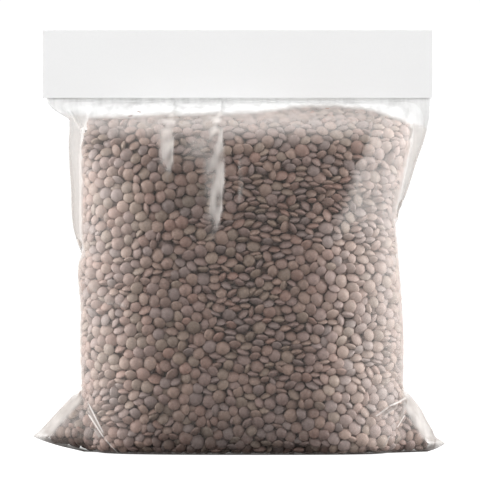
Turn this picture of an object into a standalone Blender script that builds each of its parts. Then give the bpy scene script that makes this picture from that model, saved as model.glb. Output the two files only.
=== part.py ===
"""A clear bag of lentils under a folded header card, standing on its flattened bottom.

Run it with: blender --background --python part.py
Metres, +Z up, the front panel facing -Y. The origin is on the table, under the middle of the bag.
"""

import math

import bmesh
import bpy
import numpy as np

MM = 0.001

# Driving dimensions, in millimetres.
HEADER_WIDTH = 175.0
HEADER_BOTTOM = 159.2
HEADER_TOP = 190.7
HEADER_SHIFT = -0.9  # the card sits a little left of the bag's middle
CARD_THICKNESS = 0.5
NECK_THICKNESS = 0.8
CLEARANCE = 0.3  # between the film neck and the card folded over it
FOLD_STEPS = 8

FOOT_RADIUS = 7.0  # how the walls roll under onto the flat bottom

# The filled body's reach to the left and right of its middle, and half its depth: (height, reach).
LEFT_BODY = [
    (0, 70.5), (31, 71.6), (50, 72.3), (67, 72.1), (82, 73.2), (86, 72.6), (89.5, 71.0),
    (93, 71.2), (98, 71.6), (120, 71.8), (140, 71.4), (148.8, 69.6), (153, 67.5), (156, 66), (187, 66),
]
RIGHT_BODY = [
    (0, 73.0), (31, 74.2), (50, 74.4), (67, 73.6), (85, 72.2), (100, 70.8), (104.5, 70.6),
    (110, 71.6), (120, 73.6), (131, 76.0), (141, 78.0), (150, 77.5), (156, 76), (187, 76),
]
HALF_DEPTH = [
    (0, 31.6), (20, 32.8), (45, 33.0), (75, 32.0), (100, 30.6), (125, 28.6), (138, 26.2),
    (145, 22.6), (149, 18.0), (152, 12.4), (154.5, 6.8), (156.2, 2.6), (157.2, 0.9),
    (158, 0.4), (187, 0.4),
]
UPPER_SQUARENESS = [(40, 2.8), (110, 2.8), (140, 2.5), (152, 2.2), (157, 2.4), (162, 3.0), (187, 3.0)]
LEFT_SQUARENESS = [(0, 2.7), (12, 2.8), *UPPER_SQUARENESS]
RIGHT_SQUARENESS = [(0, 3.9), (12, 3.3), *UPPER_SQUARENESS]

# The film's outer edge: the corner ears at the table and the flat flaps of film that run up to the neck.
LEFT_EDGE = [
    (0, 70), (0.8, 74), (2.2, 81), (4.4, 88.4), (6.4, 93.0), (9.8, 90.4), (12, 88.3), (14.3, 86.1),
    (18.8, 82.0), (23.3, 77.6), (27.8, 73.4), (30.5, 71.5), (60, 70), (86, 70), (90, 71.0), (93, 73.0),
    (98, 74.6), (120, 76.4), (140, 77.3), (147.5, 77.0), (149.8, 77.4), (151.1, 79.6), (152.5, 81.9),
    (153.8, 83.9), (155.2, 85.4), (156.5, 86.3), (158, 87.0), (187, 87.0),
]
RIGHT_EDGE = [
    (0, 84.5), (0.8, 87.5), (2.2, 91), (3.7, 93.0), (5, 91.8), (6.4, 89.4), (9.8, 87.4), (14.3, 84.7),
    (18.8, 82.4), (23.3, 79.2), (27.8, 75.4), (30.5, 73.8), (40, 70), (98, 70), (104.5, 70.8),
    (110, 73.2), (120, 76.8), (131, 80.2), (141, 83.7), (150, 85.6), (158, 86.2), (187, 86.2),
]
# Half the thickness the edge gains for each millimetre in from its tip, and the most it gets to.
EDGE_SLOPE = [(0, 0.6), (15, 1.05), (30, 1.5), (60, 1.5), (98, 0.55), (140, 0.4), (150, 0.22), (156, 0.1), (187, 0.1)]
EDGE_HALF_DEPTH = 20.0
EDGE_BLEND = 1.6  # how sharply the edge folds away from the wall

# Two pleats that hang from the neck down the front: (x, lowest point, height off the wall, half width).
PLEATS = [(-31.0, 126.0, 2.2, 3.4), (-9.5, 99.0, 2.8, 3.8)]
PLEAT_TOP = 157.0

# Shallow hollows across the walls: (x, height, depth, spread along x, spread up), on the front.
HOLLOWS = [(42.0, 112.0, 1.6, 16.0, 24.0), (-50.0, 92.0, 1.2, 22.0, 9.0), (24.0, 148.0, -1.0, 30.0, 6.0)]

RELIEF_FROM = 30.0  # the pleats and hollows lie above this height

PANEL_COLUMNS = 17  # from the middle of a panel to its corner
SIDE_COLUMNS = 7  # from the corner out to the film edge
CORNER_SHARE = 0.965  # the corner lies this far out along the body's reach
FINE_STEPS = 160
ROW_HEIGHTS = [
    0, 0.5, 1.1, 2.2, 3.7, 5.0, 6.4, 8.3, 10.9, 14, 17.5, 21.5, 25.5, 30, 37, 46, 57, 68, 78, 84, 87,
    90, 94, 99, 104, 110, 117, 125, 132, 138, 142.5, 146, 148.4, 150.2, 151.8, 153.2, 154.6, 156,
    157.2, 158, 186.5,
]


def clear_scene():
    for obj in list(bpy.data.objects):
        bpy.data.objects.remove(obj)


def along(stations, height):
    """The value at a height on the smooth curve through (height, value) stations."""
    heights = [h for h, _ in stations]
    values = [v for _, v in stations]
    if height <= heights[0]:
        return values[0]
    if height >= heights[-1]:
        return values[-1]
    slopes = np.gradient(np.array(values, float), np.array(heights, float))
    right = int(np.searchsorted(heights, height, side="right"))
    left = right - 1
    span = heights[right] - heights[left]
    t = (height - heights[left]) / span
    start = (1 + 2 * t) * (1 - t) ** 2 * values[left] + t * (1 - t) ** 2 * span * slopes[left]
    end = t * t * (3 - 2 * t) * values[right] + t * t * (t - 1) * span * slopes[right]
    return start + end


def foot_inset(height):
    """How far the wall has rolled in under the bag at this height."""
    rise = min(height, FOOT_RADIUS)
    return FOOT_RADIUS - math.sqrt(FOOT_RADIUS**2 - (FOOT_RADIUS - rise) ** 2)


def body_half_depth(x, reach, depth, squareness):
    """Half the bag's depth at a distance out from its middle, without the ears."""
    if x >= reach:
        return 0.0
    return depth * (1 - (x / reach) ** squareness) ** (1 / squareness)


def edge_half_depth(x, tip, depth, height):
    """Half the film edge's depth there: a wedge that opens from its tip and levels off inside the bag."""
    if x >= tip:
        return 0.0
    most = min(EDGE_HALF_DEPTH, depth)
    return most * math.tanh(along(EDGE_SLOPE, height) * (tip - x) / most)


def quarter(reach, tip, depth, squareness, height):
    """The outline from the middle of a panel round to the side, as (distance out, half depth)."""
    turns = np.linspace(0, math.pi / 2, FINE_STEPS)
    outs = list(reach * np.sin(turns) ** (2 / squareness))
    if tip > reach:
        outs += list(np.linspace(reach, tip, FINE_STEPS)[1:])
    points = []
    for out in outs:
        wall = body_half_depth(out, reach, depth, squareness)
        edge = edge_half_depth(out, tip, depth, height)
        blend = min(EDGE_BLEND, max(wall, edge))
        points.append((out, (wall + edge + math.sqrt((wall - edge) ** 2 + blend**2) - blend) / 2))
    points[-1] = (points[-1][0], 0.0)
    ring = np.array(points)
    steps = np.linalg.norm(np.diff(ring, axis=0), axis=1)
    length = np.concatenate([[0], np.cumsum(steps)])
    corner = np.interp(CORNER_SHARE * reach, ring[:, 0], length)
    panel = np.linspace(0, corner, PANEL_COLUMNS + 1)
    side = np.linspace(corner, length[-1], SIDE_COLUMNS + 1)[1:]
    stops = np.concatenate([panel, side])
    return np.interp(stops, length, ring[:, 0]), np.interp(stops, length, ring[:, 1])


def front_relief(x, height):
    """How far the front stands out from its smooth shape: pleats stand proud, hollows fall back."""
    relief = 0.0
    for pleat_x, lowest, proud, half_width in PLEATS:
        if lowest < height < PLEAT_TOP:
            along_pleat = (height - lowest) / (PLEAT_TOP - lowest)
            fade = math.sin(math.pi * along_pleat) ** 0.6
            relief += proud * fade * math.exp(-(((x - pleat_x) / half_width) ** 2))
    for hollow_x, hollow_z, depth, spread_x, spread_z in HOLLOWS:
        distance = ((x - hollow_x) / spread_x) ** 2 + ((height - hollow_z) / spread_z) ** 2
        relief -= depth * math.exp(-distance)
    return relief


def section(height):
    """The closed outline of the bag at one height, from the right side round the back and along the front."""
    inset = foot_inset(height)
    depth = along(HALF_DEPTH, height) - inset
    right_body = along(RIGHT_BODY, height) - inset
    left_body = along(LEFT_BODY, height) - inset
    right = quarter(right_body, along(RIGHT_EDGE, height), depth, along(RIGHT_SQUARENESS, height), height)
    left = quarter(left_body, along(LEFT_EDGE, height), depth, along(LEFT_SQUARENESS, height), height)
    back_right = list(zip(right[0][::-1], right[1][::-1]))
    back_left = list(zip(-left[0], left[1]))
    back = back_right[:-1] + back_left
    front = [(x, -y) for x, y in back[1:-1]][::-1]
    points = [(x, y, height) for x, y in back]
    for x, y in front:
        if height > RELIEF_FROM:
            fullness = min(1.0, depth / 12.0) * min(1.0, -y / (0.5 * depth))
            y -= front_relief(x, height) * fullness
        points.append((x, y, height))
    return points


def add_object(name, bm, material):
    mesh = bpy.data.meshes.new(name)
    bm.to_mesh(mesh)
    bm.free()
    mesh.materials.append(material)
    obj = bpy.data.objects.new(name, mesh)
    bpy.context.collection.objects.link(obj)
    return obj


def plain_material(name, colour, roughness, transmission=0.0):
    material = bpy.data.materials.new(name)
    material.use_nodes = True
    shader = material.node_tree.nodes["Principled BSDF"]
    shader.inputs["Base Color"].default_value = (*colour, 1)
    shader.inputs["Roughness"].default_value = roughness
    shader.inputs["Metallic"].default_value = 0.0
    shader.inputs["Transmission Weight"].default_value = transmission
    return material


def make_bag(material):
    """The film bag and the lentils in it, as one solid out to the film: walls, ears, pleats and neck."""
    bm = bmesh.new()
    rings = []
    for height in ROW_HEIGHTS:
        rings.append([bm.verts.new((x * MM, y * MM, z * MM)) for x, y, z in section(height)])
    columns = len(rings[0])
    for below, above in zip(rings, rings[1:]):
        for i in range(columns):
            j = (i + 1) % columns
            bm.faces.new((below[i], below[j], above[j], above[i]))
    bm.faces.new(list(reversed(rings[0])))
    bm.faces.new(rings[-1])
    bmesh.ops.recalc_face_normals(bm, faces=bm.faces)
    obj = add_object("lentil_bag", bm, material)
    obj.data.shade_smooth()
    return obj


def card_profile():
    """The header card's section across the fold, as (y, z): outside up and over, inside back down."""
    gap = NECK_THICKNESS / 2 + CLEARANCE
    outer = gap + CARD_THICKNESS
    fold = HEADER_TOP - outer
    turns = [math.pi * i / FOLD_STEPS for i in range(FOLD_STEPS + 1)]
    outside = [(-outer * math.cos(a), fold + outer * math.sin(a)) for a in turns]
    inside = [(gap * math.cos(a), fold + gap * math.sin(a)) for a in turns]
    return [(-outer, HEADER_BOTTOM), *outside, (outer, HEADER_BOTTOM), (gap, HEADER_BOTTOM), *inside, (-gap, HEADER_BOTTOM)]


def make_header(material):
    """A blank card folded over the flat neck of the bag."""
    bm = bmesh.new()
    left = (HEADER_SHIFT - HEADER_WIDTH / 2) * MM
    edge = [bm.verts.new((left, y * MM, z * MM)) for y, z in card_profile()]
    face = bm.faces.new(edge)
    grown = bmesh.ops.extrude_face_region(bm, geom=[face])
    moved = [v for v in grown["geom"] if isinstance(v, bmesh.types.BMVert)]
    bmesh.ops.translate(bm, vec=(HEADER_WIDTH * MM, 0, 0), verts=moved)
    bmesh.ops.recalc_face_normals(bm, faces=bm.faces)
    return add_object("header_card", bm, material)


clear_scene()
make_bag(plain_material("lentils_in_film", (0.36, 0.28, 0.23), 0.35))
make_header(plain_material("card", (0.88, 0.88, 0.88), 0.6))
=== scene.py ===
# %% [markdown]
# # A clear bag of brown lentils under a folded card
#
# The bag is a tube of thin clear film, filled with dried lentils until it is plump, then closed
# at the top by a card folded over its flat neck. It stands on its own flattened bottom.
#
# A clear bag is a nest of skins: the film outside, the lentils that press against it, and the
# dark inside that closes the view between them. Only the outermost two layers of lentils can be
# seen, so only those are made, over a dark core. Every piece goes where the CAD frame says.

import math

import bpy
import numpy as np
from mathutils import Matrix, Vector, kdtree
from mathutils.bvhtree import BVHTree


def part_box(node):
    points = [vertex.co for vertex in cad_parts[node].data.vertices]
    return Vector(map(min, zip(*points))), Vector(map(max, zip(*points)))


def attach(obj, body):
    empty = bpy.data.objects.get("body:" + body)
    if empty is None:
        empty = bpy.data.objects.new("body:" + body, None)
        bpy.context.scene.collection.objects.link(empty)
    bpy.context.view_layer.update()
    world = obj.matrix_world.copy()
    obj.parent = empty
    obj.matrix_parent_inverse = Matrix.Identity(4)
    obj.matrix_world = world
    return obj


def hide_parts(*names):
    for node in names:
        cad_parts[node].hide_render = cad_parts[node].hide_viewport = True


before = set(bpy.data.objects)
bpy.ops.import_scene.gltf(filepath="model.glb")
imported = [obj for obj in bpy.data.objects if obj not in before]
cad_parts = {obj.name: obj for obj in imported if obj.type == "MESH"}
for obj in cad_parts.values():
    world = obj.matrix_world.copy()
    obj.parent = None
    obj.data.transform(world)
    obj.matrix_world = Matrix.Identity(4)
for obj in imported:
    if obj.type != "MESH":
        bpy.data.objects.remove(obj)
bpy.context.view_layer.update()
MM = 0.001
BAG_LOW, BAG_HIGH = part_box("lentil_bag")
print("bag", [round((high - low) / MM, 1) for low, high in zip(BAG_LOW, BAG_HIGH)], "mm")

# %% [markdown]
# ## Shader maths as sums
#
# A finish is easier to read as a sum than as a web of nodes. One small class wraps a socket and
# overloads the operators, so that `1 - haze` adds the Math node it needs. Any other node comes
# from `add`, which sets the node's own settings first and then its inputs.

# %% A socket that can be used in a sum, and a finish to collect them
class Value:
    def __init__(self, look, socket):
        self.look, self.socket = look, socket

    def math(self, operation, left, right=0.0):
        return self.look.add("ShaderNodeMath", {"operation": operation}, {0: left, 1: right})

    def __add__(self, other):
        return self.math("ADD", self, other)

    def __sub__(self, other):
        return self.math("SUBTRACT", self, other)

    def __mul__(self, other):
        return self.math("MULTIPLY", self, other)

    def __rsub__(self, other):
        return self.math("SUBTRACT", other, self)

    __radd__ = __add__
    __rmul__ = __mul__


class Look:
    """One material, with its Principled shader already wired to the output."""

    def __init__(self, name, **constants):
        self.material = bpy.data.materials.new(name)
        self.material.use_nodes = True
        self.tree = self.material.node_tree
        self.shader = self.tree.nodes["Principled BSDF"]
        self.out = self.tree.nodes["Material Output"]
        for key, value in constants.items():
            self.shader.inputs[key.replace("_", " ")].default_value = value

    def add(self, kind, settings=None, inputs=None, out=0):
        """Any other node: its settings first, then its inputs, as numbers or sockets."""
        node = self.tree.nodes.new(kind)
        for key, value in (settings or {}).items():
            setattr(node, key, value)
        for key, value in (inputs or {}).items():
            if isinstance(value, Value):
                self.tree.links.new(value.socket, node.inputs[key])
            else:
                node.inputs[key].default_value = value
        return Value(self, node.outputs[out])

    def feed(self, key, value):
        self.tree.links.new(value.socket, self.shader.inputs[key])

    def place(self):
        return self.add("ShaderNodeTexCoord", out="Object")

    def noise(self, place, size, detail=2.0, roughness=0.5):
        """Soft random value, 0 to 1, whose blotches are about `size` metres across."""
        inputs = {"Vector": place, "Scale": 1 / size, "Detail": detail, "Roughness": roughness}
        return self.add("ShaderNodeTexNoise", None, inputs)

    def painted(self, name):
        return self.add("ShaderNodeAttribute", {"attribute_name": name}, out="Fac")

    def step(self, value, low, high):
        """0 below low, 1 above high, smooth between."""
        inputs = {"Value": value, "From Min": low, "From Max": high}
        return self.add("ShaderNodeMapRange", {"interpolation_type": "SMOOTHSTEP"}, inputs)

    def blend(self, factor, a, b):
        """Colour a at factor 0, colour b at factor 1."""
        a, b = ((*c, 1) if isinstance(c, tuple) else c for c in (a, b))
        return self.add("ShaderNodeMix", {"data_type": "RGBA"}, {0: factor, 6: a, 7: b}, out=2)

    def plain(self, operation, left, right=0.0):
        return left.math(operation, left, right)

    def scaled(self, colour, amount):
        """A colour made lighter or darker by one number."""
        return self.add("ShaderNodeVectorMath", {"operation": "SCALE"}, {0: colour, "Scale": amount})

    def bump(self, height, strength, distance):
        inputs = {"Height": height, "Strength": strength, "Distance": distance}
        self.feed("Normal", self.add("ShaderNodeBump", None, inputs))


def mesh_object(name, points, faces, look=None, smooth=True):
    """A plain mesh object from metre points and faces, placed at the origin."""
    mesh = bpy.data.meshes.new(name)
    mesh.from_pydata(points, [], faces)
    mesh.update()
    if smooth:
        mesh.shade_smooth()
    if look:
        mesh.materials.append(look.material)
    piece = bpy.data.objects.new(name, mesh)
    bpy.context.scene.collection.objects.link(piece)
    return piece


def paint(piece, name, values):
    """Stores one number for each point of a piece, for its material to read."""
    layer = piece.data.attributes.new(name, "FLOAT", "POINT")
    layer.data.foreach_set("value", np.asarray(values, np.float32))

# %% [markdown]
# ## The form of the bag
#
# Every level of the bag is a closed outline: a rounded rectangle for the filled body, and on each
# side a wedge of film that runs out to the bag's edge. Low down that wedge is the corner ear that
# sticks out along the table. Higher up it is the flat flap that runs up to the neck. A few sizes
# at a few heights say how far each part reaches, and a smooth curve joins them.

# %% Sizes at each height, in millimetres
FOOT_RADIUS = 7.0
LEFT_BODY = [
    (0, 70.5), (31, 71.6), (50, 72.3), (67, 72.1), (82, 73.2), (86, 72.6), (89.5, 71.0),
    (93, 71.2), (98, 71.6), (120, 71.8), (140, 71.4), (148.8, 69.6), (153, 67.5), (156, 66),
    (187, 66),
]
RIGHT_BODY = [
    (0, 73.0), (31, 74.2), (50, 74.4), (67, 73.6), (85, 72.2), (100, 70.8), (104.5, 70.6),
    (110, 71.6), (120, 73.6), (131, 76.0), (141, 78.0), (150, 77.5), (156, 76), (187, 76),
]
HALF_DEPTH = [
    (0, 31.6), (20, 32.8), (45, 33.0), (75, 32.0), (100, 30.6), (125, 28.6), (138, 26.2),
    (145, 22.6), (149, 18.0), (152, 12.4), (154.5, 6.8), (156.2, 2.6), (157.2, 0.9),
    (158, 0.4), (187, 0.4),
]
# How square the outline is: 2 is an ellipse, and more is squarer.
UPPER_SQUARENESS = [(40, 2.8), (110, 2.8), (140, 2.5), (152, 2.2), (157, 2.4), (162, 3.0), (187, 3.0)]
LEFT_SQUARENESS = [(0, 2.7), (12, 2.8), *UPPER_SQUARENESS]
RIGHT_SQUARENESS = [(0, 3.9), (12, 3.3), *UPPER_SQUARENESS]
LEFT_EDGE = [
    (0, 70), (0.8, 74), (2.2, 81), (4.4, 88.4), (6.4, 93.0), (9.8, 90.4), (12, 88.3), (14.3, 86.1),
    (18.8, 82.0), (23.3, 77.6), (27.8, 73.4), (30.5, 71.5), (60, 70), (86, 70), (90, 71.0), (93, 73.0),
    (98, 74.6), (120, 76.4), (140, 77.3), (147.5, 77.0), (149.8, 77.4), (151.1, 79.6), (152.5, 81.9),
    (153.8, 83.9), (155.2, 85.4), (156.5, 86.3), (158, 87.0), (187, 87.0),
]
RIGHT_EDGE = [
    (0, 84.5), (0.8, 87.5), (2.2, 91), (3.7, 93.0), (5, 91.8), (6.4, 89.4), (9.8, 87.4), (14.3, 84.7),
    (18.8, 82.4), (23.3, 79.2), (27.8, 75.4), (30.5, 73.8), (40, 70), (98, 70), (104.5, 70.8),
    (110, 73.2), (120, 76.8), (131, 80.2), (141, 83.7), (150, 85.6), (158, 86.2), (187, 86.2),
]
# How fast the film at the side opens out, in millimetres of half depth for each millimetre in.
EDGE_SLOPE = [
    (0, 0.6), (15, 1.05), (30, 1.5), (60, 1.5), (98, 0.55), (140, 0.4), (150, 0.22), (156, 0.1), (187, 0.1),
]
EDGE_HALF_DEPTH = 20.0  # the deepest that this wedge of film gets
EDGE_BLEND = 1.6  # how softly the wedge runs into the body
CORNER_SHARE = 0.965  # where the front panel ends and the side begins
EAR_TOP = 32.0  # the corner ears reach this high


def along(stations, height):
    """The value at a height on the smooth curve through (height, value) stations."""
    heights = [h for h, _ in stations]
    values = [v for _, v in stations]
    if height <= heights[0]:
        return values[0]
    if height >= heights[-1]:
        return values[-1]
    slopes = np.gradient(np.array(values, float), np.array(heights, float))
    right = int(np.searchsorted(heights, height, side="right"))
    left = right - 1
    span = heights[right] - heights[left]
    t = (height - heights[left]) / span
    start = (1 + 2 * t) * (1 - t) ** 2 * values[left] + t * (1 - t) ** 2 * span * slopes[left]
    end = t * t * (3 - 2 * t) * values[right] + t * t * (t - 1) * span * slopes[right]
    return start + end


def quarter(reach, tip, depth, squareness, slope, panel_columns, side_columns):
    """The outline from the middle of a panel round to the film's edge, as (distance out, half depth)."""
    outs = reach * np.sin(np.linspace(0, math.pi / 2, 400)) ** (2 / squareness)
    if tip > reach:
        outs = np.concatenate([outs, np.linspace(reach, tip, 200)[1:]])
    wall = depth * np.clip(1 - (np.minimum(outs, reach) / reach) ** squareness, 0, 1) ** (1 / squareness)
    most = min(EDGE_HALF_DEPTH, depth)
    edge = most * np.tanh(slope * np.clip(tip - outs, 0, None) / most)
    blend = np.minimum(EDGE_BLEND, np.maximum(wall, edge))
    half = (wall + edge + np.sqrt((wall - edge) ** 2 + blend**2) - blend) / 2
    half[-1] = 0.0
    length = np.concatenate([[0], np.cumsum(np.hypot(np.diff(outs), np.diff(half)))])
    corner = np.interp(CORNER_SHARE * reach, outs, length)
    stops = np.concatenate(
        [np.linspace(0, corner, panel_columns + 1), np.linspace(corner, length[-1], side_columns + 1)[1:]]
    )
    return np.interp(stops, length, outs), np.interp(stops, length, half)


def side_profiles(height, panel_columns, side_columns, shrink=0.0, filled=False):
    """Half outlines to the right and to the left. The filled part doesn't reach into the upper flaps."""
    rise = min(height, FOOT_RADIUS)
    inset = FOOT_RADIUS - math.sqrt(FOOT_RADIUS**2 - (FOOT_RADIUS - rise) ** 2) + shrink
    depth = max(along(HALF_DEPTH, height) - inset, 0.05)
    sides = []
    for body, edge, squareness in (
        (RIGHT_BODY, RIGHT_EDGE, RIGHT_SQUARENESS),
        (LEFT_BODY, LEFT_EDGE, LEFT_SQUARENESS),
    ):
        reach = along(body, height) - inset
        tip = along(edge, height) - shrink
        if filled and height > EAR_TOP:
            tip = reach - shrink
        sides.append(
            quarter(
                reach, tip, depth, along(squareness, height), along(EDGE_SLOPE, height),
                panel_columns, side_columns,
            )
        )
    return sides


def section(height, panel_columns, side_columns, shrink=0.0, filled=False):
    """The bag's closed outline at one height, from the right side round the back and along the front."""
    (right_x, right_y), (left_x, left_y) = side_profiles(height, panel_columns, side_columns, shrink, filled)
    x = np.concatenate([right_x[::-1], -left_x[1:]])
    y = np.concatenate([right_y[::-1], left_y[1:]])
    return np.concatenate([x, x[-2:0:-1]]), np.concatenate([y, -y[-2:0:-1]])


def skin_grid(heights, panel_columns, side_columns, shrink=0.0, filled=False):
    """Rows of outline points, as an array of rows x columns x 3, in millimetres."""
    rows = []
    for height in heights:
        x, y = section(height, panel_columns, side_columns, shrink, filled)
        rows.append(np.stack([x, y, np.full_like(x, height)], axis=1))
    return np.array(rows)


def skin_faces(rows, columns):
    """Quads that join the rows into a tube, facing out."""
    faces = []
    for row in range(0, (rows - 1) * columns, columns):
        for column in range(columns):
            after = (column + 1) % columns
            faces.append((row + column, row + after, row + columns + after, row + columns + column))
    return faces

# %% [markdown]
# ## Where the lentils may lie
#
# The lentils fill the film from inside, so they need to know how far they are from it. A coarse
# skin is measured once into a grid of distances, and any point reads its own distance and the
# direction to the film from that grid. The heap stops just under the neck, a little higher
# right of the middle than on the left.

# %% Measure the distance to the film on a grid
FILL_SHRINK = 0.55  # how far inside the film the lentils' own limit lies
GRID_STEP = 3.0
GRID_REACH = np.array([96.0, 38.0, 162.0])
FLOOR_REACH, ROOF_REACH = 0.3, 159.0  # the filled part's lowest and highest level


def fill_top(x):
    """How high the heap of lentils reaches, by distance along the bag."""
    crown = 4.0 * np.exp(-(((x - 38) / 26) ** 2))
    left_dip = 1.2 * np.exp(-(((x + 70) / 30) ** 2))
    right_dip = 0.10 * np.clip(x - 58, 0, None) ** 1.3
    return 152.0 + crown - left_dip - right_dip


def build_distance_grid():
    heights = np.concatenate([[0.3, 1.2, 2.4, 4, 6, 8.5], np.arange(11, 158, 2.5), [157.5, 159.5]])
    rows = skin_grid(heights, 30, 14, FILL_SHRINK, filled=True)
    count, columns = rows.shape[:2]
    points = [Vector(p) for p in rows.reshape(-1, 3)]
    faces = skin_faces(count, columns)
    faces.append(tuple(reversed(range(columns))))
    faces.append(tuple((count - 1) * columns + c for c in range(columns)))
    tree = BVHTree.FromPolygons(points, faces)
    low = np.array([-96.0, -38.0, -3.0])
    shape = np.ceil((GRID_REACH - low) / GRID_STEP).astype(int) + 1
    distance = np.empty(shape)
    across = np.abs(low[1] + GRID_STEP * np.arange(shape[1]))
    for k in range(shape[2]):
        height = low[2] + GRID_STEP * k
        level = np.clip(height, FLOOR_REACH, ROOF_REACH)
        sides = side_profiles(level, 30, 14, FILL_SHRINK, filled=True)
        for i in range(shape[0]):
            x = low[0] + GRID_STEP * i
            outs, half = sides[0] if x > 0 else sides[1]
            half_here = np.interp(abs(x), outs, half, right=0.0)
            for j in range(shape[1]):
                gap = tree.find_nearest(Vector((x, low[1] + GRID_STEP * j, height)))[3]
                inside = across[j] < half_here and FLOOR_REACH < height < ROOF_REACH
                distance[i, j, k] = gap if inside else -gap
    return low, distance


GRID_LOW, DISTANCE = build_distance_grid()
print("distance grid", DISTANCE.shape)


def rise(value, low, high):
    """0 below low, 1 above high, smooth between."""
    t = np.clip((value - low) / (high - low), 0, 1)
    return t * t * (3 - 2 * t)


# Where the slack film at the upper right begins, as (height, distance right of the middle).
FLAP_LINE = [(98, 40), (104, 43.5), (115, 47), (127, 50.5), (132, 54), (139, 57.5), (147, 58), (156, 62)]


def right_flap_share(x, z):
    """1 where the upper right film is slack and lies off the lentils, 0 elsewhere."""
    return rise(x - np.interp(z, *zip(*FLAP_LINE)), -1.5, 4.0) * rise(z, 92, 108)


def painted_lentil_light(x, z):
    """How much paler the lentils are painted, as light at the sides, roof and upper right flap, and how
    much darker, as shade at the foot and between the pleats. 1 is neither.
    """
    higher = 0.6 * np.clip(z - 116, 0, None)
    left = 1.28 * rise(-x - higher, 31, 60)
    right = 2.05 * rise(x, 27, 54) * (1 - rise(z, 104, 110))
    roof = 0.75 * rise(z, 136, 148)
    pocket = 0.7 * np.exp(-(((x + 63) / 9) ** 2) - ((z - 139) / 7) ** 2)
    light = np.maximum.reduce([left, right, roof, 2.1 * right_flap_share(x, z)]) * (1 - pocket)
    ear = rise(np.abs(x), 62, 72) * rise(34 - z, 0, 12)
    light = light * (1 - np.where(x < 0, 0.75, 0.40) * ear)
    foot = 0.88 * np.clip((30 - z) / 25, 0, 1) ** 1.3
    between_pleats = 0.75 * np.exp(-(((x + 23) / 9) ** 2) - ((z - 116) / 9) ** 2)
    return 1 + light - (foot + between_pleats)


def wall_distance(points):
    """Distance in from the film (positive inside) and the unit direction inwards, for many points."""
    at = np.clip((points - GRID_LOW) / GRID_STEP, 0.001, np.array(DISTANCE.shape) - 1.001)
    cell = at.astype(int)
    t = at - cell
    total = np.zeros(len(points))
    slope = np.zeros((len(points), 3))
    for corner in np.ndindex(2, 2, 2):
        corner = np.array(corner)
        weights = np.where(corner, t, 1 - t)
        value = DISTANCE[tuple((cell + corner).T)]
        total += weights.prod(axis=1) * value
        for axis in range(3):
            others = [a for a in range(3) if a != axis]
            slope[:, axis] += (2 * corner[axis] - 1) * weights[:, others].prod(axis=1) * value
    length = np.linalg.norm(slope, axis=1, keepdims=True)
    return total, slope / np.maximum(length, 1e-9)

# %% [markdown]
# ## Packing the lentils
#
# Dried lentils are flat discs, 5 to 6 mm across and half as thick. Poured into a bag they lie at
# all angles: some flat against the film, so that they show as discs, others lying level, so that
# they show as thin lenses. A full physics drop would be slow, so each lentil starts small at a
# random place near the film and grows while it pushes its neighbours away. The push between two
# flat bodies depends on how they are turned, which one formula for oval bodies gives.

# %% Scatter, turn and settle
LENTIL_RADIUS = 2.82
FLATNESS = 0.50  # thickness for each millimetre across
SHELL_DEPTH = 7.6  # how far in from the film lentils are made
CENTRE_DEPTH = 5.8  # the deepest that a lentil's middle lies
PACKING = 0.68  # the share of the shell's space that lentils take
SETTLE_STEPS = 150
chance = np.random.default_rng(20)  # a fixed start, so that every run is the same


def unit(vectors):
    return vectors / np.maximum(np.linalg.norm(vectors, axis=1, keepdims=True), 1e-9)


def scatter():
    """Random places in the shell under the film, as many as would fill it."""
    low, high = np.array([-94, -34, 0.5]), np.array([94, 34, 157.5])
    tries = chance.uniform(low, high, (400000, 3))
    depth, _ = wall_distance(tries)
    in_heap = tries[:, 2] < fill_top(tries[:, 0])
    shell = in_heap & (depth > 0) & (depth < SHELL_DEPTH)
    volume = np.prod(high - low) * shell.mean()
    wanted = int(PACKING * volume / (4 / 3 * math.pi * LENTIL_RADIUS**3 * FLATNESS))
    good = tries[in_heap & (depth > 1.0) & (depth < CENTRE_DEPTH)]
    return good[:wanted]


def patches(points, size, seed):
    """A smooth random field over the bag, about 0 to 1, so that neighbours agree."""
    field = np.zeros(len(points))
    pick = np.random.default_rng(seed)
    for _ in range(10):
        direction = unit(pick.normal(size=(1, 3)))[0] / size
        field += np.sin(points @ direction * 2 * math.pi + pick.uniform(0, 6.3))
    return np.clip(0.5 + field / 6, 0, 1)


def first_axes(points, inwards):
    """Which way each lentil faces: flat to the film, lying level or between, and some at any angle."""
    upper_right = np.clip((points[:, 0] + 5) / 30, 0, 1) * np.clip((points[:, 2] - 88) / 20, 0, 1)
    left_low = np.clip((10 - points[:, 0]) / 40, 0, 1) * np.clip((125 - points[:, 2]) / 30, 0, 1)
    lean = 0.75 * patches(points, 60, 3) + 0.45 * upper_right - 0.25 * left_low
    lean = math.pi / 2 * np.clip(lean + chance.normal(size=len(points)) * 0.30, 0, 1)[:, None]
    up = np.array([0.0, 0.0, 1.0])
    towards = np.where(chance.uniform(size=(len(points), 1)) < 0.75, 1.0, -1.0)
    axes = -inwards * np.cos(lean) * towards + up * np.sin(lean) + chance.normal(size=points.shape) * 0.30
    any_way = chance.normal(size=points.shape)
    return unit(np.where((chance.uniform(size=len(points)) > 0.90)[:, None], any_way, axes))


def touching_pairs(points, reach):
    tree = kdtree.KDTree(len(points))
    for i, point in enumerate(points):
        tree.insert(point, i)
    tree.balance()
    pairs = []
    for i, point in enumerate(points):
        pairs += [(i, j) for _, j, _ in tree.find_range(point, reach) if j > i]
    return np.array(pairs).T


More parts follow.
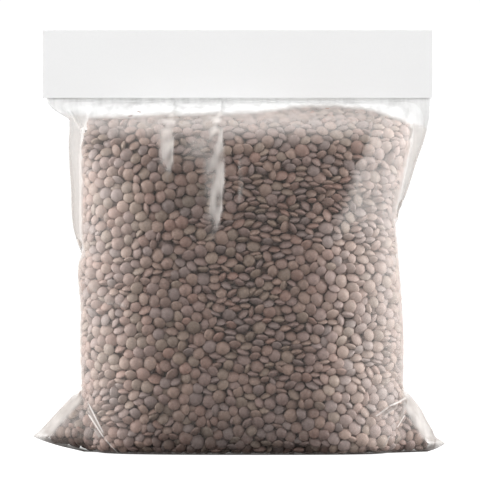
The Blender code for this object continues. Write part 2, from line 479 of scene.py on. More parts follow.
def settle(points, axes, radii):
    """Grows the lentils to full size while they push each other and the film apart."""
    ratio = (FLATNESS**2 - 1) / (FLATNESS**2 + 1)
    for step in range(SETTLE_STEPS):
        if step % 12 == 0:
            first, second = touching_pairs(points, 2.2 * LENTIL_RADIUS + 0.8)
        grown = radii * min(1.0, 0.62 + 0.38 * step / (0.6 * SETTLE_STEPS))
        apart = points[second] - points[first]
        gap = np.linalg.norm(apart, axis=1)
        direction = apart / np.maximum(gap, 1e-6)[:, None]
        a = (direction * axes[first]).sum(axis=1)
        b = (direction * axes[second]).sum(axis=1)
        both = (axes[first] * axes[second]).sum(axis=1)
        shape = 1 - ratio / 2 * ((a + b) ** 2 / (1 + ratio * both) + (a - b) ** 2 / (1 - ratio * both))
        reach = (grown[first] + grown[second]) / np.sqrt(shape)
        push = (np.maximum(reach - gap, 0) * 0.38)[:, None] * direction
        move = np.zeros_like(points)
        for k in range(3):
            move[:, k] -= np.bincount(first, push[:, k], len(points))
            move[:, k] += np.bincount(second, push[:, k], len(points))
        longest = np.linalg.norm(move, axis=1, keepdims=True)
        points = points + move * np.minimum(1, 0.8 / np.maximum(longest, 1e-9))
        for _ in range(2):
            depth, inwards = wall_distance(points)
            facing = (axes * inwards).sum(axis=1)
            need = grown * np.sqrt(1 - facing**2 + (FLATNESS * facing) ** 2)
            short = np.maximum(need - depth, 0)
            points = points + inwards * short[:, None]
        too_deep = np.maximum(depth - CENTRE_DEPTH, 0)
        points = points - inwards * (0.5 * too_deep + 0.012)[:, None]
        points[:, 2] -= 0.5 * np.maximum(points[:, 2] - fill_top(points[:, 0]), 0)
        tall = grown * np.sqrt(1 - axes[:, 2] ** 2 + (FLATNESS * axes[:, 2]) ** 2)
        points[:, 2] = np.maximum(points[:, 2], tall + 0.2)
        pressed = np.clip(short, 0, 0.5)[:, None]
        axes = unit(axes + 0.12 * pressed * np.sign(facing)[:, None] * inwards)
    return points, axes, np.maximum(reach - gap, 0)


start = scatter()
radii = LENTIL_RADIUS * np.clip(chance.normal(1.0, 0.095, len(start)), 0.76, 1.2)
_, start_inwards = wall_distance(start)
places, axes, overlap = settle(start, first_axes(start, start_inwards), radii)
print(len(places), "lentils, mean overlap of touching pairs", round(float(overlap[overlap > 0].mean()), 2), "mm")

# %% [markdown]
# ## One lentil, repeated
#
# A Geometry Nodes tree makes one lentil from a sphere: it is squashed, and its rim is drawn in so
# that it ends in an edge as a lens does. The tree then puts a copy on every settled point, turned
# and sized by what the point carries, and makes the copies real mesh, because only real mesh is
# kept. Each kind of colour is one piece.

# %% The tree that puts lentils on points
def lentil_tree(material):
    tree = bpy.data.node_groups.new("lentils_on_points", "GeometryNodeTree")
    tree.interface.new_socket("Geometry", in_out="INPUT", socket_type="NodeSocketGeometry")
    sizes = {"Radius": LENTIL_RADIUS * MM, "Flatness": FLATNESS, "Lens": 1.5}
    for name, value in sizes.items():
        socket = tree.interface.new_socket(name, in_out="INPUT", socket_type="NodeSocketFloat")
        socket.default_value = value
    tree.interface.new_socket("Geometry", in_out="OUTPUT", socket_type="NodeSocketGeometry")

    def node(kind, settings=None, inputs=None):
        made = tree.nodes.new(kind)
        for key, value in (settings or {}).items():
            setattr(made, key, value)
        for key, value in (inputs or {}).items():
            if isinstance(value, bpy.types.NodeSocket):
                tree.links.new(value, made.inputs[key])
            else:
                made.inputs[key].default_value = value
        return made

    def math_node(operation, left, right):
        return node("ShaderNodeMath", {"operation": operation}, {0: left, 1: right}).outputs[0]

    given = node("NodeGroupInput")
    ball = node("GeometryNodeMeshUVSphere", None, {"Segments": 12, "Rings": 6, "Radius": 1.0})
    where = node("ShaderNodeSeparateXYZ", None, {0: node("GeometryNodeInputPosition").outputs[0]})
    height = where.outputs["Z"]
    bulge = math_node("POWER", math_node("ABSOLUTE", height, 0.0), given.outputs["Lens"])
    signed = math_node("MULTIPLY", bulge, math_node("SIGN", height, 0.0))
    flat = math_node("MULTIPLY", signed, given.outputs["Flatness"])
    place = node("ShaderNodeCombineXYZ", None, {0: where.outputs["X"], 1: where.outputs["Y"], 2: flat})
    squash = {"Geometry": ball.outputs["Mesh"], "Position": place.outputs[0]}
    lens = node("GeometryNodeSetPosition", None, squash)
    sized = node("GeometryNodeTransform", None, {"Geometry": lens.outputs[0]})
    whole = node("ShaderNodeCombineXYZ", None, {i: given.outputs["Radius"] for i in range(3)})
    tree.links.new(whole.outputs[0], sized.inputs["Scale"])
    smooth = node("GeometryNodeSetShadeSmooth", None, {0: sized.outputs[0]})
    turn = node("GeometryNodeInputNamedAttribute", {"data_type": "FLOAT_VECTOR"}, {"Name": "turn"})
    spin = node("FunctionNodeEulerToRotation", None, {0: turn.outputs[0]})
    size = node("GeometryNodeInputNamedAttribute", {"data_type": "FLOAT_VECTOR"}, {"Name": "size"})
    copies = node(
        "GeometryNodeInstanceOnPoints", None,
        {"Points": given.outputs["Geometry"], "Instance": smooth.outputs[0],
         "Rotation": spin.outputs[0], "Scale": size.outputs[0]},
    )
    real = node("GeometryNodeRealizeInstances", None, {0: copies.outputs[0]})
    dress = {"Geometry": real.outputs[0], "Material": material}
    finish = node("GeometryNodeSetMaterial", None, dress)
    tree.links.new(finish.outputs[0], node("NodeGroupOutput").inputs[0])
    return tree


def lentil_piece(name, chosen, look):
    """All the lentils of one kind, as one plain mesh."""
    mesh = bpy.data.meshes.new(name + "_points")
    mesh.from_pydata(places[chosen] * MM, [], [])
    for key, values in (("turn", turns[chosen]), ("size", sizes_of[chosen])):
        layer = mesh.attributes.new(key, "FLOAT_VECTOR", "POINT")
        layer.data.foreach_set("vector", values.astype(np.float32).ravel())
    for key, values in (("tint", tints[chosen]), ("painted_light", painted_light_of[chosen])):
        layer = mesh.attributes.new(key, "FLOAT", "POINT")
        layer.data.foreach_set("value", values.astype(np.float32))
    seeds = bpy.data.objects.new(name + "_points", mesh)
    bpy.context.scene.collection.objects.link(seeds)
    tree = lentil_tree(look.material)
    maker = seeds.modifiers.new("lentils", "NODES")
    maker.node_group = tree
    for item in tree.interface.items_tree:
        if item.in_out == "INPUT" and item.socket_type == "NodeSocketFloat":
            maker[item.identifier] = item.default_value
    evaluated = seeds.evaluated_get(bpy.context.evaluated_depsgraph_get())
    made = bpy.data.meshes.new_from_object(evaluated)
    made.name = name
    piece = bpy.data.objects.new(name, made)
    bpy.context.scene.collection.objects.link(piece)
    bpy.data.objects.remove(seeds)
    print(name, len(chosen), "lentils", sum(len(p.vertices) - 2 for p in made.polygons), "triangles")
    return piece

# %% [markdown]
# ## The lentils' finishes
#
# A brown lentil's skin is matt, greyish tan, and mottled with soft darker specks. In one bag the
# skins run from tan through grey-brown to olive, with some redder ones. Each kind gets its own base
# colour, and every lentil its own tint around it. On top of that, painted light makes the skins paler
# towards a washed-out grey at the bag's sides and roof, and painted shade makes them darker at the foot.

# %% Six kinds of skin
# Each kind: its colour, and its share of the lentils.
SKINS = {
    "tan": ((0.190, 0.123, 0.097), 0.19),
    "brown": ((0.169, 0.105, 0.085), 0.19),
    "taupe": ((0.164, 0.107, 0.093), 0.20),
    "olive": ((0.164, 0.114, 0.087), 0.15),
    "russet": ((0.179, 0.103, 0.081), 0.12),
    "grey": ((0.151, 0.107, 0.097), 0.15),
}
# The washed-out colour that the painted light blends into any skin.
PAINTED_GLARE = (0.50, 0.472, 0.452)  # what strong light makes of any skin


def skin_look(name, colour):
    def shade(factor):
        return tuple(factor * part for part in colour)

    look = Look("lentil_" + name, Roughness=0.62)
    place = look.place()
    base = look.blend(look.painted("tint"), shade(0.78), shade(1.22))
    speckle = look.step(look.noise(place, 0.0010, 4.0, 0.65), 0.50, 0.66)
    base = look.blend(speckle * 0.42, base, shade(0.45))
    dust = look.step(look.noise(place, 0.0013, 3.0, 0.6), 0.54, 0.72)
    base = look.blend(dust * 0.38, base, shade(1.75))
    cloud = look.step(look.noise(place, 0.005, 1.0), 0.40, 0.75)
    base = look.blend(cloud * 0.20, base, shade(1.3))
    # Painted light and shade: each lentil's colour is made paler where the bag's sides and roof are lit, and
    # darker at the foot and between the pleats.
    painted_light = look.painted("painted_light")
    lit = look.scaled(base, painted_light * 0.5 + 1.0)
    look.feed("Base Color", look.blend(painted_light * 0.17, lit, PAINTED_GLARE))
    look.feed("Roughness", look.noise(place, 0.002) * 0.25 + 0.48)
    look.bump(look.noise(place, 0.0007, 3.0), 0.35, 0.0002)
    return look


tilt = np.arctan2(np.hypot(axes[:, 0], axes[:, 1]), axes[:, 2])
heading = np.arctan2(axes[:, 1], axes[:, 0]) + math.pi / 2
turns = np.stack([tilt, np.zeros(len(axes)), heading], axis=1)
grown = 1.05 * radii / LENTIL_RADIUS
wide = chance.normal(1.0, 0.035, (len(grown), 2))
thick = chance.normal(1.0, 0.08, len(grown))
sizes_of = np.stack([grown * wide[:, 0], grown * wide[:, 1], grown * thick], axis=1)
tints = np.clip(chance.normal(0.5, 0.20, len(grown)), 0, 1)
# Painted light and shade for each lentil: above 0 it is made paler, below 0 darker.
painted_light_of = painted_lentil_light(places[:, 0], places[:, 2]) - 1
kind_of = chance.choice(len(SKINS), len(grown), p=[share for _, share in SKINS.values()])
lentils = []
for number, (kind, (colour, _)) in enumerate(SKINS.items()):
    of_kind = np.flatnonzero(kind_of == number)
    lentils.append(lentil_piece("lentils_" + kind, of_kind, skin_look(kind, colour)))

# %% [markdown]
# ## The dark inside
#
# Between the lentils the eye meets more lentils in deep shade. They are not made one by one: a
# closed dark core follows the bag's form a few millimetres in, with lumps the size of lentils.

# %% A lumpy core
CORE_INSET = 5.2  # how far the core lies inside the lentils' limit
# Painted shade: the core's colours are darker than any lentil's skin, for lentils deep in the bag's shade.
CORE_DARK, CORE_LIGHT = (0.050, 0.032, 0.024), (0.120, 0.085, 0.068)


def build_core():
    heights = np.concatenate([[5.0, 5.6, 7, 9.5], np.arange(12, 148, 2.2)])
    rows = skin_grid(heights, 44, 16, 0.0)
    count, columns = rows.shape[:2]
    points = rows.reshape(-1, 3).copy()
    for _ in range(12):
        depth, inwards = wall_distance(points)
        points += inwards * np.clip(CORE_INSET - depth, -1, 1)[:, None] * 0.6
    lumps = patches(points, 6.5, 8) - 0.5
    _, inwards = wall_distance(points)
    points -= inwards * lumps[:, None] * 1.2
    faces = skin_faces(count, columns)
    faces.append(tuple(reversed(range(columns))))
    faces.append(tuple((count - 1) * columns + c for c in range(columns)))
    return points, faces


core_look = Look("lentils_in_shade", Roughness=0.9)
core_place = core_look.place()
core_mottle = core_look.noise(core_place, 0.004, 3.0)
core_look.feed("Base Color", core_look.blend(core_mottle, CORE_DARK, CORE_LIGHT))
core_look.bump(core_mottle, 0.8, 0.001)
core_points, core_faces = build_core()
core = mesh_object("core", core_points * MM, core_faces, core_look)
print("core", len(core_faces), "faces")

# %% [markdown]
# ## The film
#
# The film is one closed skin, a fine net of points on the bag's outlines. Folds are added as
# relief: two pleats hang from the neck, short creases run into each ear, and shallow wrinkles
# cross the walls. Then the skin is drawn towards the lentils behind it, so that it touches the
# proud ones and bridges the gaps, as tight film does.

# %% Folds as relief on the front panel
# Each fold: its line as (x, z) points, its height, its widths left and right, and how milky it is.
FOLDS = [
    ([(-29.4, 158), (-29.4, 150), (-29.8, 140), (-30.2, 131), (-31.0, 125)], 1.0, 13.0, 1.0, 0.42),
    ([(-8.2, 158), (-8, 148), (-7.6, 135), (-7.6, 122), (-8.2, 110), (-10, 100)], 1.3, 15.0, 1.0, 0.47),
    ([(59.5, 152), (59.0, 146), (57.8, 140), (54.5, 132), (50.5, 127)], 0.5, 0.9, 3.0, 0.26),
    ([(0.4, 131), (0.6, 122), (0.2, 112)], 0.5, 1.2, 0.8, 0.30),
    ([(-76.3, 153), (-73, 148), (-70, 144)], 0.8, 1.4, 1.2, 0.60),
    ([(-73, 80), (-66, 74), (-58, 68)], 0.5, 1.6, 1.6, 0.12),
    ([(-62, 67.5), (-56, 67), (-50, 66)], 0.6, 1.6, 1.6, 0.20),
    ([(-67.9, 23.2), (-64.6, 16.6), (-60.3, 8.9)], 0.8, 0.9, 1.2, 0.15),
    ([(-67.9, 18.2), (-63.7, 12.5), (-60.2, 7.2), (-53.8, 0.4)], 0.8, 1.2, 0.9, 0.15),
    ([(60.2, 17.0), (63.4, 18.6), (66.5, 21.4), (70.9, 23.0), (75.0, 24.6)], 1.5, 1.8, 0.9, 0.20),
    ([(74.1, 17.0), (70.3, 11.6)], 0.6, 0.9, 0.9, 0.10),
]


def fold_field(x, z, line, left_width, right_width):
    """1 on the fold's line, falling to 0 at its widths, and fading out at its ends."""
    line = np.array(line, float)
    best = np.zeros_like(x)
    lengths = np.hypot(*np.diff(line, axis=0).T)
    before = np.concatenate([[0], np.cumsum(lengths)])
    for k in range(len(lengths)):
        step = (line[k + 1] - line[k]) / lengths[k]
        t = np.clip((x - line[k, 0]) * step[0] + (z - line[k, 1]) * step[1], 0, lengths[k])
        dx, dz = x - (line[k, 0] + t * step[0]), z - (line[k, 1] + t * step[1])
        off = np.hypot(dx, dz)
        side = dx * step[1] - dz * step[0]
        falling = step[1] < 0
        on_left = (side > 0) if falling else (side < 0)
        place = (before[k] + t) / before[-1]
        width = np.where(on_left, left_width * (1 - 0.6 * place), right_width)
        fade = np.clip(np.minimum(place + 0.35, 1.0), 0, 1) * np.clip((1 - place) * 4 + 0.15, 0, 1)
        best = np.maximum(best, np.clip(1 - off / width, 0, 1) ** 1.3 * fade)
    return best


def wide_wrinkles(x, y, z):
    """Shallow waves in slack film, drawn out up and down more than across."""
    waves = patches(np.stack([x * 1.0, y, z * 0.35], axis=1), 34, 5) - 0.5
    fine = patches(np.stack([x * 1.2, y, z * 0.5], axis=1), 15, 6) - 0.5
    return 1.1 * waves + 0.4 * fine


PANEL_COLUMNS, SIDE_COLUMNS = 74, 30
film_heights = np.concatenate(
    [[0, 0.35, 0.8, 1.4, 2.1, 2.9, 3.7], np.arange(4.6, 160.4, 0.92), [162, 165, 170, 178, 186.3]]
)
film_rows = skin_grid(film_heights, PANEL_COLUMNS, SIDE_COLUMNS)
ROWS, COLUMNS = film_rows.shape[:2]
print("film net", ROWS, "x", COLUMNS)


def net_normals(rows):
    """Outward unit normals of the net."""
    around = np.roll(rows, -1, axis=1) - np.roll(rows, 1, axis=1)
    up = np.gradient(rows, axis=0)
    normal = np.cross(around, up)
    return normal / np.maximum(np.linalg.norm(normal, axis=2, keepdims=True), 1e-9)


film_normals = net_normals(film_rows)
X, Y, Z = film_rows[..., 0], film_rows[..., 1], film_rows[..., 2]
front = (Y < 0) & (film_normals[..., 1] < -0.15)
relief = np.zeros_like(X)
crest = np.zeros_like(X)
mottle_at = np.stack([X, Y, Z * 0.6], axis=2).reshape(-1, 3)
mottle = np.clip(0.55 + 0.9 * patches(mottle_at, 5.0, 11).reshape(X.shape), 0.4, 1.25)
for line, proud, left_width, right_width, milky in FOLDS:
    field = fold_field(X, Z, line, left_width, right_width) * front
    relief = np.maximum(relief, proud * field)
    crest = np.maximum(crest, milky * np.clip(field * 2.4, 0, 1) * mottle)
thickness = np.clip(np.abs(Y) / 6, 0, 1)
free = np.clip(Z / 12, 0, 1) * np.clip((158.5 - Z) / 6, 0, 1) * thickness
slack = wide_wrinkles(X.ravel(), Y.ravel(), Z.ravel()).reshape(X.shape)
under_card = np.clip((159.0 - Z) / 2, 0, 1)
off_table = np.clip(Z / 1.5, 0, 1)
relief = relief * under_card * off_table + 0.22 * slack * free
film_rows = film_rows + film_normals * relief[..., None]

# %% Draw the film to the lentils
built = bpy.context.evaluated_depsgraph_get()
lentil_trees = [BVHTree.FromObject(piece, built) for piece in lentils]


def gap_behind(rows, normals, reach=4.0, outside=2.5):
    """How far behind each point of the film the first lentil lies, in millimetres, less than 0 if outside."""
    gaps = np.full(rows.shape[:2], reach)
    for r in range(len(rows)):
        if rows[r, 0, 2] > 158:
            break
        for c in range(rows.shape[1]):
            start = Vector((rows[r, c] + normals[r, c] * outside) * MM)
            inward = Vector(-normals[r, c])
            for tree in lentil_trees:
                hit = tree.ray_cast(start, inward, (reach + outside) * MM)
                if hit[0] is not None:
                    gaps[r, c] = min(gaps[r, c], hit[3] / MM - outside)
    return gaps


def softened(field, times):
    for _ in range(times):
        field = 0.5 * field + 0.125 * (
            np.roll(field, 1, axis=1) + np.roll(field, -1, axis=1)
            + np.vstack([field[:1], field[:-1]]) + np.vstack([field[1:], field[-1:]])
        )
    return field


def least_nearby(field, times):
    """Each point takes the least value round it, so that a move made with it never passes a lentil."""
    for _ in range(times):
        up, down = np.vstack([field[:1], field[:-1]]), np.vstack([field[1:], field[-1:]])
        field = np.minimum.reduce([field, up, down, np.roll(field, 1, axis=1), np.roll(field, -1, axis=1)])
    return field


MOST_OUT = 1.6
for clearing in range(2):
    film_normals = net_normals(film_rows)
    gaps = gap_behind(film_rows, film_normals)
    typical = float(np.median(gaps[gaps < 4]))
    print("film to lentils: median gap", round(typical, 2), "mm, poking out", int((gaps < 0).sum()))
    room = least_nearby(np.where(gaps > 3.9, 1.2, gaps), 2) - 0.10
    most_in = 0.45 if clearing == 0 else 0.0
    draw = softened(np.clip(room, -MOST_OUT, most_in), 2) * np.clip(Z / 3, 0, 1)
    draw = np.where(draw > 0, draw * np.clip(1 - 3 * crest, 0, 1), draw)
    film_rows = film_rows - film_normals * draw[..., None]
film_rows[..., 2] = np.maximum(film_rows[..., 2], 0.0)

# %% [markdown]
# ## Where the film is milky
#
# Clear film is clear where it lies flat on something and faces you. Where it is slack, creased or
# doubled it scatters light and turns milky: along both sides, over the sloping roof, on the pleats
# and in the ears. Along the sides and over the roof the milkiness is also partly a painted reflection
# of the bright lamps above and beside the bag. That amount is painted on the film's points, from the
# film's own form.

# %% Where each part of the film is
reach = np.where(X > 0, np.interp(Z, *zip(*RIGHT_BODY)), np.interp(Z, *zip(*LEFT_BODY)))
tip = np.where(X > 0, np.interp(Z, *zip(*RIGHT_EDGE)), np.interp(Z, *zip(*LEFT_EDGE)))
out_share = np.abs(X) / reach
upward = np.clip(film_normals[..., 2], 0, 1)
sideways = np.abs(film_normals[..., 0])
ear = rise(np.abs(X), 64, 74) * rise(34 - Z, 0, 10)
roof = rise(Z, 136, 148)
pocket = 0.7 * np.exp(-(((X + 63) / 9) ** 2) - ((Z - 139) / 7) ** 2)
right_flap = right_flap_share(X, Z) * front
pleat_gap = np.exp(-(((X + 18) / 7) ** 2) - ((Z - 138) / 7) ** 2) * front
left_strip = rise(-X, 69.5, 72.5) * rise(Z, 92, 100)
right_strip = rise(X - np.interp(Z, *zip(*RIGHT_BODY)), -3, 1.5) * rise(Z, 104, 112)
neck = rise(Z, fill_top(X) - 2.5, fill_top(X) + 2.0)
ear_edge = rise(10 - (tip - np.abs(X)), 0, 6) * rise(30 - Z, 0, 8) * rise(np.abs(X) - reach, -2.5, 1.5)
ear_edge = ear_edge * (1 - 0.45 * rise(np.abs(X), 86, 91))
# Painted shade: a dark band along the bottom edge and under the ears, where the film faces down.
under = rise(1.3 - Z, 0, 1.0)
under_ear = rise(-film_normals[..., 2], 0.4, 0.9) * rise(9 - Z, 0, 3) * rise(np.abs(X), 72, 80)

# %% Paint the haze, its brightness and its shade
# Milky film and painted reflection together: the haze grows towards the sides and over the roof, where the film
# faces the bright lamps, and fades towards the bottom.
haze = np.where(X > 0, 0.22, 0.12) * rise(out_share, 0.5, 1.0) ** 1.5
haze = np.maximum(haze, 0.40 * rise(out_share, 0.94, 1.03)) * (1 - 0.75 * ear)
haze = np.maximum(haze, 0.26 * roof) * (1 - pocket)
haze = np.maximum.reduce(
    [haze, 0.24 * right_flap, 0.32 * pleat_gap, 0.36 * left_strip, 0.42 * right_strip, 0.93 * neck, crest]
)
CLEAREST, MILKIEST = 0.055, 0.95
haze = np.clip(haze + CLEAREST, 0, MILKIEST) * (0.35 + 0.65 * rise(Z, 0, 14))
haze = np.maximum.reduce([haze, 0.80 * ear_edge, 0.85 * under, 0.5 * under_ear])

# The veil is whiter on the neck, the slack right flap and the folds, and on the roof as a painted reflection of
# the light above.
white = np.maximum.reduce([neck, 0.3 * right_flap, 0.25 * roof, np.clip(0.5 * crest, 0, 0.15)])
beside = rise(X, -9, -3)
# On the neck the veil is painted darker where it faces up or to the side, against the strong light from above
# and the sides.
neck_slope = (0.25 - 0.05 * beside) * rise(upward, 0.05, 0.65)
neck_veil = (0.90 - 0.02 * beside) * (1 - neck_slope - 0.30 * rise(sideways, 0.15, 0.6))
veil = (0.63 + 0.30 * white) * (1 - neck) + neck_veil * neck
veil = veil * (1 - 0.30 * ear_edge)
shade = np.maximum.reduce([0.12 * ear_edge, under, 0.7 * under_ear])
print("mean haze", round(float(haze.mean()), 2))

# %% The film's mesh and finish
def build_film():
    """The net as one closed skin, its bottom filled in by shrinking rings and its sealed top closed by one face.
    """
    points = [film_rows.reshape(-1, 3)]
    faces = skin_faces(ROWS, COLUMNS)
    painted = np.stack([haze, white, veil, shade], axis=2)
    values = [painted.reshape(-1, painted.shape[2])]
    total = ROWS * COLUMNS
    middle = film_rows[0].mean(axis=0)
    ring = 0
    for share in (0.8, 0.55, 0.3, 0.1):
        points.append(middle + (film_rows[0] - middle) * share)
        values.append(painted[0])
        for column in range(COLUMNS):
            after = (column + 1) % COLUMNS
            faces.append((total + column, total + after, ring + after, ring + column))
        ring = total
        total += COLUMNS
    faces.append(tuple(reversed(range(ring, ring + COLUMNS))))
    top = (ROWS - 1) * COLUMNS
    faces.append(tuple(range(top, top + COLUMNS)))
    return np.concatenate(points), faces, np.concatenate(values)


# Creases too fine for the net, painted on: a dark line is painted shade in a fold and a bright line a
# painted highlight on its ridge. Each: ends as (x, z), half width, how dark, how bright.
CREASES = [
    ((-67.9, 23.2), (-60.3, 8.9), 0.42, 0.0, 0.50),
    ((-67.9, 18.2), (-60.2, 7.2), 0.42, 0.0, 0.58),
    ((-60.2, 7.2), (-53.8, 0.2), 0.36, 0.0, 0.45),
    ((-67.9, 21.2), (-61.2, 9.6), 1.05, 0.80, 0.0),
    ((-64.9, 11.4), (-62.2, 7.6), 0.70, 0.70, 0.0),
    ((60.2, 17.0), (66.8, 21.5), 0.50, 0.0, 0.35),
    ((66.6, 21.5), (75.0, 24.6), 0.50, 0.0, 0.50),
    ((63.6, 17.6), (70.6, 21.7), 0.95, 0.75, 0.0),
    ((75.2, 24.2), (72.4, 15.8), 0.75, 0.70, 0.0),
    ((74.3, 17.2), (70.3, 11.6), 0.34, 0.0, 0.50),
    ((67.1, 8.5), (64.0, 3.4), 0.30, 0.0, 0.30),
    ((88.4, 6.6), (87.0, 0.3), 0.45, 0.55, 0.0),
]


def thin_line(look, x, z, start, end, width):
    """1 along the middle of a straight line on the front, falling off at its sides and ends."""
    (x0, z0), (x1, z1) = start, end
    length = math.hypot(x1 - x0, z1 - z0)
    east, north = (x1 - x0) / length, (z1 - z0) / length
    along = ((x - x0) * east + (z - z0) * north) * (1 / length)
    across = (x - x0) * north - (z - z0) * east
    ends = look.step(along, -0.03, 0.14) * (1 - look.step(along, 0.86, 1.03))
    return (1 - look.step(look.plain("ABSOLUTE", across), 0.25 * width, 1.25 * width)) * ends


film_look = Look("clear_film", Roughness=0.45)
place = film_look.place()
x_mm, y_mm, z_mm = (
    film_look.add("ShaderNodeSeparateXYZ", None, {0: place}, out=axis) * (1 / MM) for axis in "XYZ"
)
in_front = film_look.step(y_mm * -1, 0.2, 1.0)
# Painted shade along the dark crease lines, and a painted highlight along the bright ones.
painted_crease_shade, painted_crease_highlight = 0.0, 0.0
for begin, end, width, dark, bright in CREASES:
    line = thin_line(film_look, x_mm, z_mm, begin, end, width)
    if dark:
        painted_crease_shade = line * dark + painted_crease_shade
    if bright:
        painted_crease_highlight = line * bright + painted_crease_highlight
painted_crease_highlight = film_look.plain("MINIMUM", painted_crease_highlight, 0.85) * in_front
painted_crease_shade = film_look.plain("MINIMUM", painted_crease_shade, 0.85) * in_front * (1 - painted_crease_highlight)
facing = film_look.add("ShaderNodeLayerWeight", None, {"Blend": 0.5}, out="Facing")
normal = film_look.add("ShaderNodeNewGeometry", out="Normal")
up = film_look.add("ShaderNodeSeparateXYZ", None, {0: normal}, out="Z")
# A painted reflection: the film turns milky white where it is seen at a glancing angle, as glossy film reflects
# the white room, and less where it faces down.
glance = film_look.step(facing, 0.3, 1.0) * 0.20 * film_look.step(up, -0.75, 0.10)
scuffs = film_look.noise(place, 0.004, 4.0) * 0.4 + 0.8
upright = {0: place, 1: (1.0, 1.0, 0.12)}
drawn = film_look.add("ShaderNodeVectorMath", {"operation": "MULTIPLY"}, upright)
streaks = film_look.noise(drawn, 0.0035, 3.0) * 0.7 + 0.65
milk = film_look.painted("haze") * scuffs * streaks
amount = 1 - (1 - milk) * (1 - glance) * (1 - painted_crease_shade) * (1 - painted_crease_highlight)
whiteness = film_look.painted("white")
tone = film_look.blend(whiteness, (1.0, 0.92, 0.865), (1.0, 1.0, 0.995))
veil_colour = film_look.scaled(tone, film_look.painted("veil"))
# Painted shade: the film is coloured dark brown along its bottom edge, under the ears and on the dark creases,
# and the bright creases get a painted highlight.
film_colour = film_look.blend(film_look.painted("shade"), veil_colour, (0.10, 0.068, 0.055))
film_colour = film_look.blend(painted_crease_shade, film_colour, (0.09, 0.062, 0.050))
film_look.feed("Base Color", film_look.blend(painted_crease_highlight, film_colour, (0.74, 0.70, 0.67)))
clear = film_look.add("ShaderNodeBsdfTransparent", None, {"Color": (0.985, 0.985, 0.98, 1)})
milky = Value(film_look, film_look.shader.outputs[0])
mixed = film_look.add("ShaderNodeMixShader", None, {0: amount, 1: clear, 2: milky})
film_look.tree.links.new(mixed.socket, film_look.out.inputs["Surface"])
film_look.bump(film_look.noise(place, 0.0022, 3.0), 0.18, 0.0005)

film_points, film_faces, film_values = build_film()
film = mesh_object("film", film_points * MM, film_faces, film_look)
for column, name in enumerate(("haze", "white", "veil", "shade")):
    paint(film, name, film_values[:, column])
print("film", len(film_faces), "faces")

# %% [markdown]
# ## The card
#
# The header is plain pale card, folded over the film's neck. Its shape is already right, so it
# keeps its own mesh and only gets a finish: card has a faint fibre that shows as a slight change in
# shade and a very fine grain.

# %% Plain card
card_look = Look("plain_card", Roughness=0.7)
card_place = card_look.place()
fibre = card_look.noise(card_place, 0.0012, 4.0)
drift = card_look.noise(card_place, 0.05, 1.0)
darker, lighter = (0.775, 0.775, 0.775), (0.81, 0.81, 0.81)
card_look.feed("Base Color", card_look.blend(fibre * 0.6 + drift * 0.4, darker, lighter))
card_look.bump(fibre, 0.15, 0.0001)
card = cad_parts["header_card"]
card.data.materials.clear()
card.data.materials.append(card_look.material)

# %% [markdown]
# ## The studio
#
# The bag stands on a white table in soft white light from all round, a little stronger from above.
# The camera is far away with a long lens, level with the bag's middle.

# %% Table, light and camera
FLOOR_DROP = 0.0002
floor_look = Look("white_table", Roughness=0.9)
drift = floor_look.noise(floor_look.place(), 0.4)
floor_look.feed("Base Color", floor_look.blend(drift, (0.20, 0.20, 0.20), (0.22, 0.22, 0.22)))
grazing = floor_look.add("ShaderNodeLayerWeight", None, {"Blend": 0.5}, out="Facing")
bright = floor_look.step(grazing, 0.55, 0.98)
floor_look.feed("Emission Color", floor_look.blend(bright, (0.0, 0.0, 0.0), (1.0, 1.0, 1.0)))
floor_look.shader.inputs["Emission Strength"].default_value = 1.0
half = 6.0
corners = [(-half, -half), (half, -half), (half, half), (-half, half)]
level = [(x, y, -FLOOR_DROP) for x, y in corners]
floor = mesh_object("table", level, [(0, 1, 2, 3)], floor_look, smooth=False)

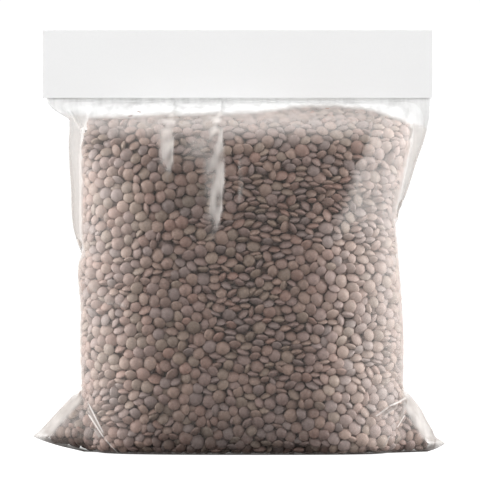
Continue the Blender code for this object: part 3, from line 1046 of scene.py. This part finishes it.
world = bpy.data.worlds.new("studio")
bpy.context.scene.world = world
world.use_nodes = True
tree = world.node_tree
tree.nodes.clear()
sky_out = tree.nodes.new("ShaderNodeOutputWorld")
coordinate = tree.nodes.new("ShaderNodeTexCoord")
split = tree.nodes.new("ShaderNodeSeparateXYZ")
tree.links.new(coordinate.outputs["Generated"], split.inputs[0])
ramp = tree.nodes.new("ShaderNodeMapRange")
for key, value in {"From Min": -0.1, "From Max": 1.0, "To Min": 0.30, "To Max": 0.68}.items():
    ramp.inputs[key].default_value = value
tree.links.new(split.outputs["Z"], ramp.inputs["Value"])
soft = tree.nodes.new("ShaderNodeBackground")
soft.inputs["Color"].default_value = (1, 1, 1, 1)
tree.links.new(ramp.outputs[0], soft.inputs["Strength"])
seen = tree.nodes.new("ShaderNodeBackground")
seen.inputs["Color"].default_value = (1, 1, 1, 1)
seen.inputs["Strength"].default_value = 1.05
path = tree.nodes.new("ShaderNodeLightPath")
choose = tree.nodes.new("ShaderNodeMixShader")
tree.links.new(path.outputs["Is Camera Ray"], choose.inputs[0])
tree.links.new(soft.outputs[0], choose.inputs[1])
tree.links.new(seen.outputs[0], choose.inputs[2])
tree.links.new(choose.outputs[0], sky_out.inputs["Surface"])


def soft_box(name, place, aim, size, watts):
    light = bpy.data.lights.new(name, "AREA")
    light.shape = "RECTANGLE"
    light.size, light.size_y = size
    light.energy = watts
    lamp = bpy.data.objects.new(name, light)
    lamp.location = place
    lamp.rotation_euler = (Vector(aim) - Vector(place)).to_track_quat("-Z", "Y").to_euler()
    bpy.context.scene.collection.objects.link(lamp)
    return lamp


soft_box("key", (-0.2, -1.2, 1.2), (0, 0, 0.08), (0.8, 0.5), 10.0)
soft_box("top", (0.0, 0.1, 1.3), (0, 0, 0.1), (0.9, 0.7), 9.0)
soft_box("left_side", (-0.95, -0.02, 0.28), (0, 0, 0.09), (0.5, 0.6), 13.5)
soft_box("right_side", (0.95, -0.02, 0.28), (0, 0, 0.09), (0.5, 0.6), 13.5)

VIEW_DISTANCE = 2.0
VIEW_RISE = math.radians(0.8)
VIEW_WIDTH = 0.216
CENTRE = Vector((0.0002, 0.0, 0.0953))
camera_data = bpy.data.cameras.new("camera")
camera_data.sensor_width = 36.0
camera_data.lens = 36.0 * VIEW_DISTANCE / VIEW_WIDTH
camera = bpy.data.objects.new("camera", camera_data)
camera.location = CENTRE + VIEW_DISTANCE * Vector((0, -math.cos(VIEW_RISE), math.sin(VIEW_RISE)))
camera.rotation_euler = (CENTRE - camera.location).to_track_quat("-Z", "Y").to_euler()
bpy.context.scene.collection.objects.link(camera)
bpy.context.scene.camera = camera
bpy.context.scene.view_settings.view_transform = "Standard"

# %% Hand the pieces to the frame
for piece in [film, core, *lentils]:
    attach(piece, "root")
    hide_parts("lentil_bag")
